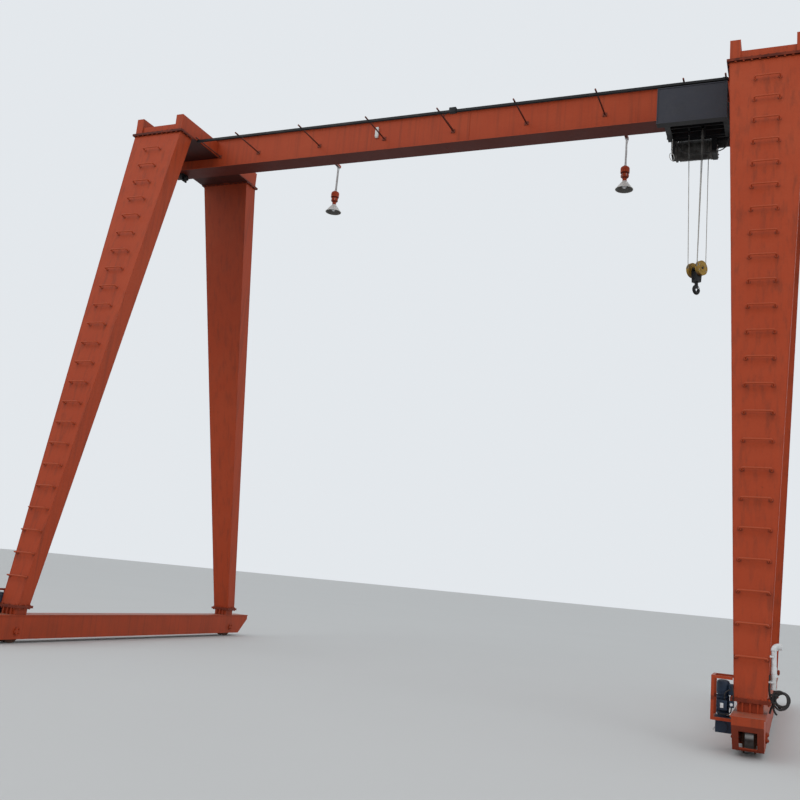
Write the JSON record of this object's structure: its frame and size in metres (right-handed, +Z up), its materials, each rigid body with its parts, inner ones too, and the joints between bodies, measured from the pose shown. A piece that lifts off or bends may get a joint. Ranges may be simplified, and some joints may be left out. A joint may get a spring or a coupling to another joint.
{
  "type": "gantry crane",
  "caption": "Orange single-girder gantry crane on two A-frames with a low-headroom rope hoist, ladder rungs, floodlights and rail wheels.",
  "frame": {"origin": "on the ground under the middle of the crane, midway between the A-frames and between the wheels", "axes": "+X along the girder towards the hoist's rest place, +Y along the rails away from the ladders, +Z up"},
  "size_m": [9.72, 5.94, 7.925],
  "materials": {
    "orange_paint": "weathered orange gloss paint, dulled and streaked by rain",
    "rusty_paint": "dark red paint with rust coming through",
    "wheel_iron": "rusty cast iron with a polished tread",
    "bare_steel": "greasy machined steel",
    "drive_paint": "dark blue-grey machine enamel",
    "black_paint": "greasy black paint",
    "grey_paint": "flat dark grey paint",
    "galvanised": "dull galvanised steel",
    "white_paint": "aged white enamel",
    "white_plastic": "sun-bleached white plastic",
    "cable_rubber": "black rubber sheath",
    "wire_rope": "stranded steel wire, lightly greased",
    "guard_yellow": "yellow paint with grease stains"
  },
  "bodies": {
    "gantry": {"main_girder": "orange_paint", "girder_end_stops": "black_paint", "leg_left_near": "orange_paint", "leg_left_far": "orange_paint", "leg_right_near": "orange_paint", "leg_right_far": "orange_paint", "saddle_left_near": "orange_paint", "saddle_left_far": "orange_paint", "saddle_right_near": "orange_paint", "saddle_right_far": "orange_paint", "ladder_left": "orange_paint", "ladder_right": "orange_paint", "ground_beam_left": "orange_paint", "ground_beam_right": "orange_paint", "leg_pedestals": "orange_paint", "wheel_axles": "orange_paint", "travel_gearboxes": "drive_paint", "travel_motors": "drive_paint", "drive_cages": "orange_paint", "festoon_arms": "rusty_paint", "festoon_track": "black_paint", "lamp_arms": "orange_paint", "lamp_hangers": "galvanised", "lamp_housings": "orange_paint", "lamp_reflectors": "white_paint", "conduit_pipe": "white_plastic", "supply_cable": "cable_rubber"},
    "wheel_left_near": {"wheel_left_near": "wheel_iron"},
    "wheel_left_far": {"wheel_left_far": "wheel_iron"},
    "wheel_right_near": {"wheel_right_near": "wheel_iron"},
    "wheel_right_far": {"wheel_right_far": "wheel_iron"},
    "trolley": {"trolley_frame": "black_paint", "trolley_wheels": "bare_steel", "counterweight_box": "grey_paint", "rope_drum": "black_paint", "hoist_gearbox": "black_paint", "hoist_motor": "black_paint", "top_sheave_bracket": "black_paint", "top_sheave": "bare_steel", "limit_ring": "white_paint", "rope_falls": "wire_rope"},
    "hook_block": {"block_frame": "black_paint", "sheave_guards": "guard_yellow", "block_sheaves": "bare_steel"},
    "hook": {"hook": "black_paint"}
  },
  "joints": [
    {"name": "wheel_left_near_spin", "type": "hinge", "parent": "gantry", "child": "wheel_left_near", "pos_m": [-4.37, -2.44, 0.15], "axis": [1, 0, 0], "continuous": true},
    {"name": "wheel_left_far_spin", "type": "hinge", "parent": "gantry", "child": "wheel_left_far", "pos_m": [-4.37, 2.44, 0.15], "axis": [1, 0, 0], "continuous": true},
    {"name": "wheel_right_near_spin", "type": "hinge", "parent": "gantry", "child": "wheel_right_near", "pos_m": [4.37, -2.44, 0.15], "axis": [1, 0, 0], "continuous": true},
    {"name": "wheel_right_far_spin", "type": "hinge", "parent": "gantry", "child": "wheel_right_far", "pos_m": [4.37, 2.44, 0.15], "axis": [1, 0, 0], "continuous": true},
    {"name": "trolley_travel", "type": "slide", "parent": "gantry", "child": "trolley", "axis": [1, 0, 0], "range_m": [-7.63, 0.66]},
    {"name": "hoist", "type": "slide", "parent": "trolley", "child": "hook_block", "axis": [0, 0, 1], "range_m": [-4.9, 1.2], "deforming": ["rope_falls"]},
    {"name": "hook_swivel", "type": "hinge", "parent": "hook_block", "child": "hook", "pos_m": [3.535, 0, 5.13], "axis": [0, 0, 1], "continuous": true}
  ]
}
